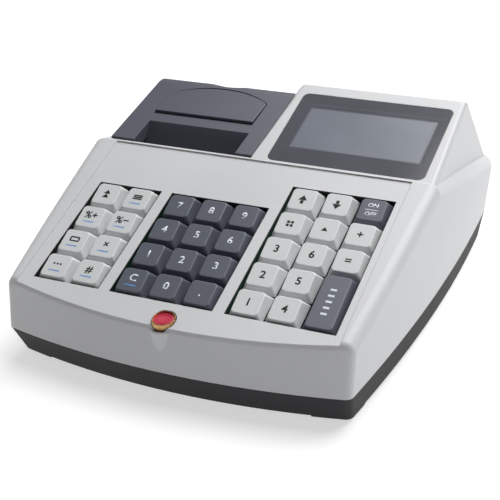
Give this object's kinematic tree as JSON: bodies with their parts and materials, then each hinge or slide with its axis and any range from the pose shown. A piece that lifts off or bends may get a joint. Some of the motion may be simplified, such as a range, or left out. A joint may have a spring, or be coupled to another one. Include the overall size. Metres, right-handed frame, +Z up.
{
  "type": "ticket register",
  "caption": "Low desktop ticket register: sloping keyboard in three blocks, raised display hood, hinged printer lid with ticket slot and lever, base tray on feet.",
  "frame": {"origin": "on the table, under the middle of the case", "axes": "+X to the right seen from the keyboard, +Y to the back, +Z up"},
  "size_m": [0.2136, 0.26, 0.1036],
  "materials": {
    "case_plastic": "fine grained light grey moulding",
    "tray_plastic": "fine grained charcoal moulding",
    "cover_plastic": "fine grained dark grey moulding",
    "lever_plastic": "fine grained dark grey moulding",
    "key_light": "smooth light grey key plastic",
    "key_dark": "smooth dark grey key plastic",
    "window_gloss": "polished dark window",
    "display_glass": "display glass in a black frame",
    "rubber": "black rubber",
    "roller_rubber": "ground black rubber",
    "screw_steel": "zinc plated",
    "cutter_steel": "bright rolled strip",
    "shaft_steel": "ground",
    "motor_steel": "plated can",
    "chassis_plastic": "black moulding",
    "gear_plastic": "white acetal",
    "pinion_brass": "machined",
    "head_aluminium": "plain",
    "board_green": "solder mask",
    "keyboard_black": "black moulding",
    "socket_black": "black moulding",
    "seal_brass": "knurled",
    "seal_red": "stamped seal"
  },
  "bodies": {
    "case": {"top_cover": "case_plastic", "base_tray": "tray_plastic", "rubber_feet": "rubber", "case_screws": "screw_steel", "tear_bar": "cutter_steel", "printer_frame": "chassis_plastic", "feed_motor": "motor_steel", "print_head": "head_aluminium", "display_window": "window_gloss", "display_module": "display_glass", "customer_window": "window_gloss", "customer_module": "display_glass", "main_board": "board_green", "keyboard_board": "board_green", "key_plate": "keyboard_black", "key_switches": "keyboard_black", "rear_sockets": "socket_black", "seal_cup": "seal_brass", "seal_wax": "seal_red"},
    "printer_lid": {"printer_cover": "cover_plastic"},
    "lid_lever": {"release_lever": "lever_plastic"},
    "platen": {"platen_roller": "roller_rubber", "platen_shaft": "shaft_steel", "platen_gear": "gear_plastic"},
    "idler": {"idler_gear": "gear_plastic"},
    "pinion": {"motor_pinion": "pinion_brass"},
    "key_feed_cap": {"key_feed": "key_light"},
    "key_mode_cap": {"key_mode": "key_light"},
    "key_percent_plus_cap": {"key_percent_plus": "key_light"},
    "key_percent_minus_cap": {"key_percent_minus": "key_light"},
    "key_price_cap": {"key_price": "key_light"},
    "key_void_cap": {"key_void": "key_light"},
    "key_function_cap": {"key_function": "key_light"},
    "key_quantity_cap": {"key_quantity": "key_light"},
    "key_7_cap": {"key_7": "key_dark"},
    "key_8_cap": {"key_8": "key_dark"},
    "key_9_cap": {"key_9": "key_dark"},
    "key_4_cap": {"key_4": "key_dark"},
    "key_5_cap": {"key_5": "key_dark"},
    "key_6_cap": {"key_6": "key_dark"},
    "key_1_cap": {"key_1": "key_dark"},
    "key_2_cap": {"key_2": "key_dark"},
    "key_3_cap": {"key_3": "key_dark"},
    "key_clear_cap": {"key_clear": "key_dark"},
    "key_0_cap": {"key_0": "key_dark"},
    "key_point_cap": {"key_point": "key_dark"},
    "key_arrow_up_cap": {"key_arrow_up": "key_light"},
    "key_arrow_down_cap": {"key_arrow_down": "key_light"},
    "key_power_cap": {"key_power": "key_dark"},
    "key_department_cap": {"key_department": "key_light"},
    "key_lookup_cap": {"key_lookup": "key_light"},
    "key_pay_cap": {"key_pay": "key_light"},
    "key_dept_3_cap": {"key_dept_3": "key_light"},
    "key_dept_6_cap": {"key_dept_6": "key_light"},
    "key_subtotal_cap": {"key_subtotal": "key_light"},
    "key_dept_2_cap": {"key_dept_2": "key_light"},
    "key_dept_5_cap": {"key_dept_5": "key_light"},
    "key_dept_1_cap": {"key_dept_1": "key_light"},
    "key_dept_4_cap": {"key_dept_4": "key_light"},
    "key_total_cap": {"key_total": "key_dark"}
  },
  "joints": [
    {"name": "printer_lid_hinge", "type": "hinge", "parent": "case", "child": "printer_lid", "pos_m": [-0.05, 0.07386, 0.08557], "axis": [-1, 0, 0], "range_deg": [0, 70]},
    {"name": "lever_hinge", "type": "hinge", "parent": "printer_lid", "child": "lid_lever", "pos_m": [-0.04925, 0.047, 0.09128], "axis": [-1, 0, 0], "range_deg": [0, 20], "stiffness_Nm_per_rad": 0.02},
    {"name": "platen_spin", "type": "hinge", "parent": "case", "child": "platen", "pos_m": [-0.0495, 0.0104, 0.068], "axis": [1, 0, 0], "continuous": true},
    {"name": "idler_spin", "type": "hinge", "parent": "case", "child": "idler", "pos_m": [-0.0157, 0.0104, 0.0548], "axis": [1, 0, 0], "continuous": true},
    {"name": "pinion_spin", "type": "hinge", "parent": "case", "child": "pinion", "pos_m": [-0.0157, 0.0104, 0.044], "axis": [1, 0, 0], "continuous": true},
    {"name": "key_feed_press", "type": "slide", "parent": "case", "child": "key_feed_cap", "axis": [0, 0.309, -0.9511], "range_m": [0, 0.003], "stiffness_N_per_m": 170, "springref_m": -0.0015},
    {"name": "key_mode_press", "type": "slide", "parent": "case", "child": "key_mode_cap", "axis": [0, 0.309, -0.9511], "range_m": [0, 0.003], "stiffness_N_per_m": 170, "springref_m": -0.0015},
    {"name": "key_percent_plus_press", "type": "slide", "parent": "case", "child": "key_percent_plus_cap", "axis": [0, 0.309, -0.9511], "range_m": [0, 0.003], "stiffness_N_per_m": 170, "springref_m": -0.0015},
    {"name": "key_percent_minus_press", "type": "slide", "parent": "case", "child": "key_percent_minus_cap", "axis": [0, 0.309, -0.9511], "range_m": [0, 0.003], "stiffness_N_per_m": 170, "springref_m": -0.0015},
    {"name": "key_price_press", "type": "slide", "parent": "case", "child": "key_price_cap", "axis": [0, 0.309, -0.9511], "range_m": [0, 0.003], "stiffness_N_per_m": 170, "springref_m": -0.0015},
    {"name": "key_void_press", "type": "slide", "parent": "case", "child": "key_void_cap", "axis": [0, 0.309, -0.9511], "range_m": [0, 0.003], "stiffness_N_per_m": 170, "springref_m": -0.0015},
    {"name": "key_function_press", "type": "slide", "parent": "case", "child": "key_function_cap", "axis": [0, 0.309, -0.9511], "range_m": [0, 0.003], "stiffness_N_per_m": 170, "springref_m": -0.0015},
    {"name": "key_quantity_press", "type": "slide", "parent": "case", "child": "key_quantity_cap", "axis": [0, 0.309, -0.9511], "range_m": [0, 0.003], "stiffness_N_per_m": 170, "springref_m": -0.0015},
    {"name": "key_7_press", "type": "slide", "parent": "case", "child": "key_7_cap", "axis": [0, 0.309, -0.9511], "range_m": [0, 0.003], "stiffness_N_per_m": 170, "springref_m": -0.0015},
    {"name": "key_8_press", "type": "slide", "parent": "case", "child": "key_8_cap", "axis": [0, 0.309, -0.9511], "range_m": [0, 0.003], "stiffness_N_per_m": 170, "springref_m": -0.0015},
    {"name": "key_9_press", "type": "slide", "parent": "case", "child": "key_9_cap", "axis": [0, 0.309, -0.9511], "range_m": [0, 0.003], "stiffness_N_per_m": 170, "springref_m": -0.0015},
    {"name": "key_4_press", "type": "slide", "parent": "case", "child": "key_4_cap", "axis": [0, 0.309, -0.9511], "range_m": [0, 0.003], "stiffness_N_per_m": 170, "springref_m": -0.0015},
    {"name": "key_5_press", "type": "slide", "parent": "case", "child": "key_5_cap", "axis": [0, 0.309, -0.9511], "range_m": [0, 0.003], "stiffness_N_per_m": 170, "springref_m": -0.0015},
    {"name": "key_6_press", "type": "slide", "parent": "case", "child": "key_6_cap", "axis": [0, 0.309, -0.9511], "range_m": [0, 0.003], "stiffness_N_per_m": 170, "springref_m": -0.0015},
    {"name": "key_1_press", "type": "slide", "parent": "case", "child": "key_1_cap", "axis": [0, 0.309, -0.9511], "range_m": [0, 0.003], "stiffness_N_per_m": 170, "springref_m": -0.0015},
    {"name": "key_2_press", "type": "slide", "parent": "case", "child": "key_2_cap", "axis": [0, 0.309, -0.9511], "range_m": [0, 0.003], "stiffness_N_per_m": 170, "springref_m": -0.0015},
    {"name": "key_3_press", "type": "slide", "parent": "case", "child": "key_3_cap", "axis": [0, 0.309, -0.9511], "range_m": [0, 0.003], "stiffness_N_per_m": 170, "springref_m": -0.0015},
    {"name": "key_clear_press", "type": "slide", "parent": "case", "child": "key_clear_cap", "axis": [0, 0.309, -0.9511], "range_m": [0, 0.003], "stiffness_N_per_m": 170, "springref_m": -0.0015},
    {"name": "key_0_press", "type": "slide", "parent": "case", "child": "key_0_cap", "axis": [0, 0.309, -0.9511], "range_m": [0, 0.003], "stiffness_N_per_m": 170, "springref_m": -0.0015},
    {"name": "key_point_press", "type": "slide", "parent": "case", "child": "key_point_cap", "axis": [0, 0.309, -0.9511], "range_m": [0, 0.003], "stiffness_N_per_m": 170, "springref_m": -0.0015},
    {"name": "key_arrow_up_press", "type": "slide", "parent": "case", "child": "key_arrow_up_cap", "axis": [0, 0.309, -0.9511], "range_m": [0, 0.003], "stiffness_N_per_m": 170, "springref_m": -0.0015},
    {"name": "key_arrow_down_press", "type": "slide", "parent": "case", "child": "key_arrow_down_cap", "axis": [0, 0.309, -0.9511], "range_m": [0, 0.003], "stiffness_N_per_m": 170, "springref_m": -0.0015},
    {"name": "key_power_press", "type": "slide", "parent": "case", "child": "key_power_cap", "axis": [0, 0.309, -0.9511], "range_m": [0, 0.003], "stiffness_N_per_m": 170, "springref_m": -0.0015},
    {"name": "key_department_press", "type": "slide", "parent": "case", "child": "key_department_cap", "axis": [0, 0.309, -0.9511], "range_m": [0, 0.003], "stiffness_N_per_m": 170, "springref_m": -0.0015},
    {"name": "key_lookup_press", "type": "slide", "parent": "case", "child": "key_lookup_cap", "axis": [0, 0.309, -0.9511], "range_m": [0, 0.003], "stiffness_N_per_m": 170, "springref_m": -0.0015},
    {"name": "key_pay_press", "type": "slide", "parent": "case", "child": "key_pay_cap", "axis": [0, 0.309, -0.9511], "range_m": [0, 0.003], "stiffness_N_per_m": 170, "springref_m": -0.0015},
    {"name": "key_dept_3_press", "type": "slide", "parent": "case", "child": "key_dept_3_cap", "axis": [0, 0.309, -0.9511], "range_m": [0, 0.003], "stiffness_N_per_m": 170, "springref_m": -0.0015},
    {"name": "key_dept_6_press", "type": "slide", "parent": "case", "child": "key_dept_6_cap", "axis": [0, 0.309, -0.9511], "range_m": [0, 0.003], "stiffness_N_per_m": 170, "springref_m": -0.0015},
    {"name": "key_subtotal_press", "type": "slide", "parent": "case", "child": "key_subtotal_cap", "axis": [0, 0.309, -0.9511], "range_m": [0, 0.003], "stiffness_N_per_m": 170, "springref_m": -0.0015},
    {"name": "key_dept_2_press", "type": "slide", "parent": "case", "child": "key_dept_2_cap", "axis": [0, 0.309, -0.9511], "range_m": [0, 0.003], "stiffness_N_per_m": 170, "springref_m": -0.0015},
    {"name": "key_dept_5_press", "type": "slide", "parent": "case", "child": "key_dept_5_cap", "axis": [0, 0.309, -0.9511], "range_m": [0, 0.003], "stiffness_N_per_m": 170, "springref_m": -0.0015},
    {"name": "key_dept_1_press", "type": "slide", "parent": "case", "child": "key_dept_1_cap", "axis": [0, 0.309, -0.9511], "range_m": [0, 0.003], "stiffness_N_per_m": 170, "springref_m": -0.0015},
    {"name": "key_dept_4_press", "type": "slide", "parent": "case", "child": "key_dept_4_cap", "axis": [0, 0.309, -0.9511], "range_m": [0, 0.003], "stiffness_N_per_m": 170, "springref_m": -0.0015},
    {"name": "key_total_press", "type": "slide", "parent": "case", "child": "key_total_cap", "axis": [0, 0.309, -0.9511], "range_m": [0, 0.003], "stiffness_N_per_m": 170, "springref_m": -0.0015}
  ],
  "couplings": [
    {"joint": "idler_spin", "follows": "platen_spin", "ratio": -0.83333},
    {"joint": "pinion_spin", "follows": "platen_spin", "ratio": 1.6667}
  ]
}
